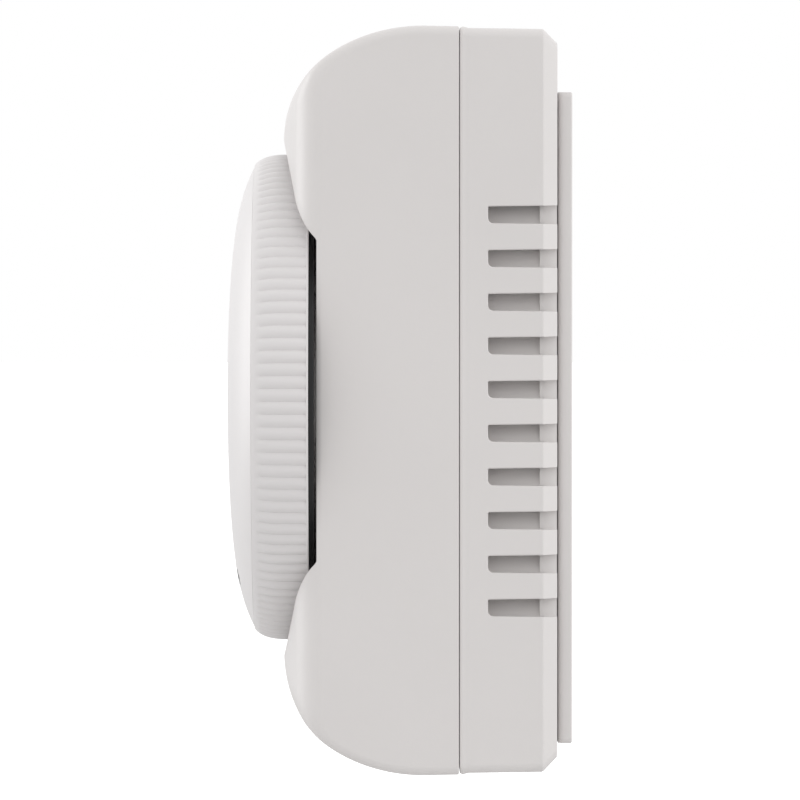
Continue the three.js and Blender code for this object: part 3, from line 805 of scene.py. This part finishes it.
def duct(side):
    """The inner wall behind the slots: it leans out at the foot of each one, and steps out behind."""
    low = vent_heights()[0] - DUCT_PAST
    high = vent_heights()[-1] + DUCT_PAST
    front = VENT_FRONT - 0.02
    back = CASE_BACK - 0.05
    inner = DUCT_X - DUCT_THICK
    outer = SIDE - WALL + 0.3
    # x and y, and how much of the lean that point follows
    outline = [
        (inner, front - 0.5, 0),
        (outer, front - 0.5, 0),
        (outer, front, 0),
        (DUCT_X, front, 1),
        (DUCT_X, DUCT_STEP_Y, 1),
        (DUCT_STEP_X, DUCT_STEP_Y, 0.3),
        (DUCT_STEP_X, back, 0.3),
        (inner, back, 0),
    ]
    levels = [(low, 0.0)]
    for z in vent_heights():
        levels += [(z - LOUVRE_HALF, LOUVRE[0]), (z + LOUVRE_HALF, LOUVRE[1])]
    levels.append((high, 0.0))
    loops = [[(side * (x + lean * share), y, z) for x, y, share in outline] for z, lean in levels]
    return loft("duct", loops)


# ---- rear case ----
BAY_X = 25.2  # the bay for the two cells, closed at its ends by the ducts' inner walls
BAY_ROOM = DUCT_X - DUCT_THICK
BAY_WALL = 1.2
BAY_FRONT = -13.9
BAY_LOW = -37.2
BAY_HIGH = -14.2
CELL_HEIGHTS = (-20.0, -31.2)
HOOK_X = 13
HOOK_HEIGHTS = (-41.2, 38.5)
HOOK_ROOM = (3.3, -1.8, 2.6)  # half width, and the room below and above a hook's middle
CUT_FRONT = -6  # openings in the back wall run from here to CUT_BACK
CUT_BACK = 1
WINDOW = (-18.5, 18.5, CUT_FRONT, CUT_BACK, 2.5, 32.5)  # the wiring plugs in through it
# radius, front and back
SCREW_TUBE = (4.2, -17.9, CASE_BACK - 0.4)
SCREW_HEAD_ROOM = (3, CUT_FRONT, CUT_BACK)
SCREW_HOLE = (1.6, -20, 0)


def hook_places():
    return [(x, z) for x in (-HOOK_X, HOOK_X) for z in HOOK_HEIGHTS]


def hook_opening(x, z):
    """Room for a hook and its barb."""
    half_x, below, above = HOOK_ROOM
    return block(x - half_x, x + half_x, CUT_FRONT, CUT_BACK, z + below, z + above)


def battery_bay():
    """The block that the cells' room is then cut from."""
    low = BAY_LOW - BAY_WALL
    high = BAY_HIGH + BAY_WALL
    return block(-BAY_X, BAY_X, BAY_FRONT - BAY_WALL, CASE_BACK - 0.4, low, high)


def rear_case():
    """The shell with its back wall, screw tubes, battery bay, vents and openings."""
    shell = rear_shell()
    edge = BACK_RIM - 2
    half_x = SIDE - edge
    back_wall = block(-half_x, half_x, CASE_BACK - WALL, CASE_BACK, BOTTOM + edge, TOP - edge)
    bay = battery_bay()
    tubes = [rod(*SCREW_TUBE, x, z) for x, z in boss_places()]
    combine(shell, [back_wall], "UNION")
    combine(shell, tubes, "UNION")
    combine(shell, [bay], "UNION")
    bay_room = block(-BAY_ROOM, BAY_ROOM, BAY_FRONT, CUT_BACK, BAY_LOW, BAY_HIGH)
    combine(shell, [bay_room], "DIFFERENCE")
    cuts = [vent_cutter(side, z) for side in (1, -1) for z in vent_heights()]
    combine(shell, cuts, "DIFFERENCE")
    combine(shell, [duct(1), duct(-1)], "UNION")
    combine(shell, [block(*WINDOW)], "DIFFERENCE")
    combine(shell, [hook_opening(x, z) for x, z in hook_places()], "DIFFERENCE")
    combine(shell, [rod(*SCREW_HEAD_ROOM, x, z) for x, z in boss_places()], "DIFFERENCE")
    return combine(shell, [rod(*SCREW_HOLE, x, z) for x, z in boss_places()], "DIFFERENCE")


# ---- wall plate ----
PLATE_FRONT = CASE_BACK + 0.1  # it all but touches the case
PLATE_BEVEL = 0.15
PLATE_EDGE = (1.0, 1.8)  # how far the long edges round over, across the width and in depth
HOOK_HALF = 2.6
MOUNT_HEIGHTS = (-41.65, -30, 30, 41.65)  # four slots for wall screws
MOUNT_HALF = (4.2, 2.1)  # across and up
CABLE_ENTRY = (13, 17, 26)  # half width, low and high
SLOT_CORNER = 2.0


def plate_loop(y, inset_x, inset_z):
    low = plate_low.z + inset_z
    high = plate_high.z - inset_z
    return rounded_loop(plate_high.x - inset_x, low, high, 0.8, y)


def slot_cutter(half_x, low, high):
    """A slot with rounded ends that goes right through the plate."""
    return loft("slot", [rounded_loop(half_x, low, high, SLOT_CORNER, y) for y in (1, -4)])


def hook(x, z):
    """A snap hook: a stem with a barb on its upper side."""
    outline = [(-1, -0.9), (-5.6, -0.9), (-5.6, 0.9), (-5.2, 1.3), (-4.5, 1.3), (-4.5, 0.5), (-1, 0.5)]
    sides = (x - HOOK_HALF, x + HOOK_HALF)
    return loft("hook", [[(side, y, z + h) for y, h in outline] for side in sides])


def wall_plate():
    """A flat plate with rounded long edges, four snap hooks, screw slots and a cable opening."""
    width, depth = PLATE_EDGE
    loops = [plate_loop(0, PLATE_BEVEL, PLATE_BEVEL), plate_loop(-PLATE_BEVEL, 0, 0)]
    for i in range(7):
        angle = math.pi / 2 * i / 6
        y = PLATE_FRONT + depth * (1 - math.sin(angle))
        loops.append(plate_loop(y, width * (1 - math.cos(angle)), PLATE_BEVEL * (i == 6)))
    panel = loft("wall_plate_panel", loops)
    combine(panel, [hook(x, z) for x, z in hook_places()], "UNION")
    half_x, half_z = MOUNT_HALF
    slots = [slot_cutter(half_x, z - half_z, z + half_z) for z in MOUNT_HEIGHTS]
    slots.append(slot_cutter(*CABLE_ENTRY))
    return combine(panel, slots, "DIFFERENCE")


# ---- cells ----
CELL_R = 5.15
CELL_Y = -8.2
CELL_HALF = 21.3
CELL_SHIFT = 1.4  # each cell lies a little towards its nub
CELL_BAND = 0.62  # the coloured band starts at this share of the half length


def cell(name, z, facing):
    """A wrapped dry cell lying along X, its nub towards facing."""
    profile = [
        (-CELL_HALF + 0.2, 4.2),
        (-CELL_HALF, 4.5),
        (-CELL_HALF, 4.9),
        (-CELL_HALF + 0.25, CELL_R),
        (CELL_HALF * CELL_BAND, CELL_R),
        (CELL_HALF - 0.3, CELL_R),
        (CELL_HALF, 4.85),
        (CELL_HALF, 4.3),
        (CELL_HALF - 0.4, 4.0),
        (CELL_HALF - 0.4, 2.6),
        (CELL_HALF - 0.1, 1.95),
        (CELL_HALF + 0.95, 1.9),
        (CELL_HALF + 1.1, 1.7),
    ]
    loops = []
    for along, radius in profile:
        x = facing * (CELL_SHIFT + along)
        turns = [2 * math.pi * i / 48 for i in range(48)]
        loops.append([(x, CELL_Y + radius * math.cos(a), z + radius * math.sin(a)) for a in turns])
    return loft(name, loops)


def colour_cell(obj, facing):
    """Gives a finished cell its band by the nub and its bare ends."""
    obj.data.materials.append(cell_band)
    obj.data.materials.append(materials["steel"])
    for polygon in obj.data.polygons:
        along = facing * polygon.center.x / MM - CELL_SHIFT
        bare = abs(polygon.normal.x) > 0.5 or along > CELL_HALF
        polygon.material_index = 2 if bare else int(along > CELL_HALF * CELL_BAND)


# ---- stage, light and camera ----
ROOM_LIGHT = 1.0


def camera_rays(nodes, lit, seen, output):
    """Shows one shader to the camera and another to the light that the object gathers."""
    mix = nodes.add("MixShader")
    nodes.link(nodes.add("LightPath").outputs["Is Camera Ray"], mix.inputs[0])
    nodes.link(lit, mix.inputs[1])
    nodes.link(seen, mix.inputs[2])
    nodes.link(mix.outputs[0], output.inputs["Surface"])


def stage():
    """A pale floor, bright to the camera and dimmer as a source of light."""
    size = 6.0
    floor_z = BOTTOM * MM - 0.03
    mesh = bpy.data.meshes.new("floor")
    corners = [(x * size, y * size, floor_z) for x, y in ((-1, -1), (1, -1), (1, 1), (-1, 1))]
    mesh.from_pydata(corners, [], [(0, 1, 2, 3)])
    material, nodes, shader, _ = new_material("pale_floor")
    shader.inputs["Base Color"].default_value = (0.72, 0.72, 0.72, 1)
    shader.inputs["Roughness"].default_value = 0.9
    shader.inputs["Specular IOR Level"].default_value = 0.0
    glow = nodes.add("Emission")
    glow.inputs["Strength"].default_value = 0.75
    both = nodes.add("AddShader")
    nodes.link(shader.outputs[0], both.inputs[0])
    nodes.link(glow.outputs[0], both.inputs[1])
    camera_rays(nodes, shader.outputs[0], both.outputs[0], material.node_tree.nodes["Material Output"])
    mesh.materials.append(material)
    scene_object("floor", mesh)


def area_light(name, direction, distance, size, radiance):
    """A square soft light of the given radiance, facing the object's middle."""
    data = bpy.data.lights.new(name, "AREA")
    data.shape = "SQUARE"
    data.size = size
    data.energy = radiance * math.pi * size * size
    light = bpy.data.objects.new(name, data)
    bpy.context.scene.collection.objects.link(light)
    toward = Vector(direction).normalized()
    light.location = Vector((0, -0.024, 0.0)) + toward * distance
    light.rotation_euler = (-toward).to_track_quat("-Z", "Y").to_euler()


def room_share(nodes, axis, low, high):
    """A factor for the room's light that runs from low to high along one axis of its direction."""
    share = nodes.add("MapRange")
    share.inputs["From Min"].default_value = -1.0 if axis == "Z" else 0.0
    share.inputs["To Min"].default_value = low
    share.inputs["To Max"].default_value = high
    axes = nodes.add("SeparateXYZ")
    nodes.link(nodes.add("TexCoord").outputs["Generated"], axes.inputs[0])
    nodes.link(axes.outputs[axis], share.inputs["Value"])
    return share.outputs["Result"]


def lighting():
    """An even white room, dimmer towards the camera and the floor, with a soft light at each side."""
    world = bpy.data.worlds.new("studio")
    world.use_nodes = True
    bpy.context.scene.world = world
    nodes = Nodes(world.node_tree)
    background = world.node_tree.nodes["Background"]
    background.inputs["Color"].default_value = (1, 1, 1, 1)
    strength = nodes.add("Math", operation="MULTIPLY")
    nodes.link(room_share(nodes, "X", ROOM_LIGHT, ROOM_LIGHT * 0.93), strength.inputs[0])
    nodes.link(room_share(nodes, "Z", 0.97, 1.06), strength.inputs[1])
    nodes.link(strength.outputs[0], background.inputs["Strength"])
    seen = nodes.add("Background")
    seen.inputs["Color"].default_value = (1, 1, 1, 1)
    output = world.node_tree.nodes["World Output"]
    camera_rays(nodes, background.outputs[0], seen.outputs[0], output)
    area_light("left", (-0.59, -0.8, 0.12), 1.0, 0.5, 2.0)
    area_light("right", (0.0, 1, 0.1), 1.0, 0.42, 2.2)


CAMERA_DISTANCE = 1.146
CAMERA_RISE = math.radians(1.1)  # it looks down a little
CAMERA_AIM = (-0.0241, 0.00202)  # y and z of the point it looks at


def camera():
    """A long lens at the right side of the object."""
    data = bpy.data.cameras.new("camera")
    data.lens = 360
    data.sensor_width = 36
    data.clip_end = 20
    obj = bpy.data.objects.new("camera", data)
    bpy.context.scene.collection.objects.link(obj)
    aim_y, aim_z = CAMERA_AIM
    height = aim_z + CAMERA_DISTANCE * math.sin(CAMERA_RISE)
    obj.location = (CAMERA_DISTANCE * math.cos(CAMERA_RISE), aim_y, height)
    obj.rotation_euler = (math.pi / 2 - CAMERA_RISE, 0, math.pi / 2)
    bpy.context.scene.camera = obj


# ---- assembly ----
def dress_node(obj, slot):
    """Rounds a carried-over CAD part's edges a little, and gives it its material."""
    obj.data.materials.clear()
    obj.data.materials.append(materials[slot])
    for polygon in obj.data.polygons:
        polygon.use_smooth = True
    obj.data.set_sharp_from_angle(angle=math.radians(32))
    if slot != "steel":
        merge = obj.modifiers.new("Merge flats", "DECIMATE")
        merge.decimate_type = "DISSOLVE"
        merge.angle_limit = math.radians(0.5)
        bevel = obj.modifiers.new("Edges", "BEVEL")
        bevel.width = 0.12 * MM
        bevel.segments = 2
        bevel.limit_method = "ANGLE"
        bevel.angle_limit = math.radians(40)
    obj.modifiers.new("Weighted normals", "WEIGHTED_NORMAL").keep_sharp = True


camera()
stage()
lighting()

finish_piece(front_cover(), materials["white_shell"], "unit", ["front_cover"])
finish_piece(dial_ring(), materials["white_cap"], "ring", ["dial_ring"], smooth=36)
finish_piece(display_cap(), materials["white_cap"], "cap", ["display_cap"])
finish_piece(dial_marks(), mark_ink, "cap")
finish_piece(rear_case(), materials["white_shell"], "unit", ["rear_case"])
finish_piece(wall_plate(), materials["white_shell"], "wall_side", ["wall_plate"])
for number, facing in ((1, 1), (2, -1)):
    piece = cell(f"dry_cell_{number}", CELL_HEIGHTS[number - 1], facing)
    finish_piece(piece, materials["cell_wrap"], "unit", [f"battery_{number}"])
    colour_cell(piece, facing)

replaced = (
    "front_cover", "dial_ring", "display_cap", "rear_case", "wall_plate", "battery_1", "battery_2",
)
for part in frame["record"]["subparts"]:
    if part["node"] not in replaced:
        dress_node(frame["nodes"][part["node"]], part["material_slot"])

bpy.context.scene.view_settings.view_transform = "Standard"
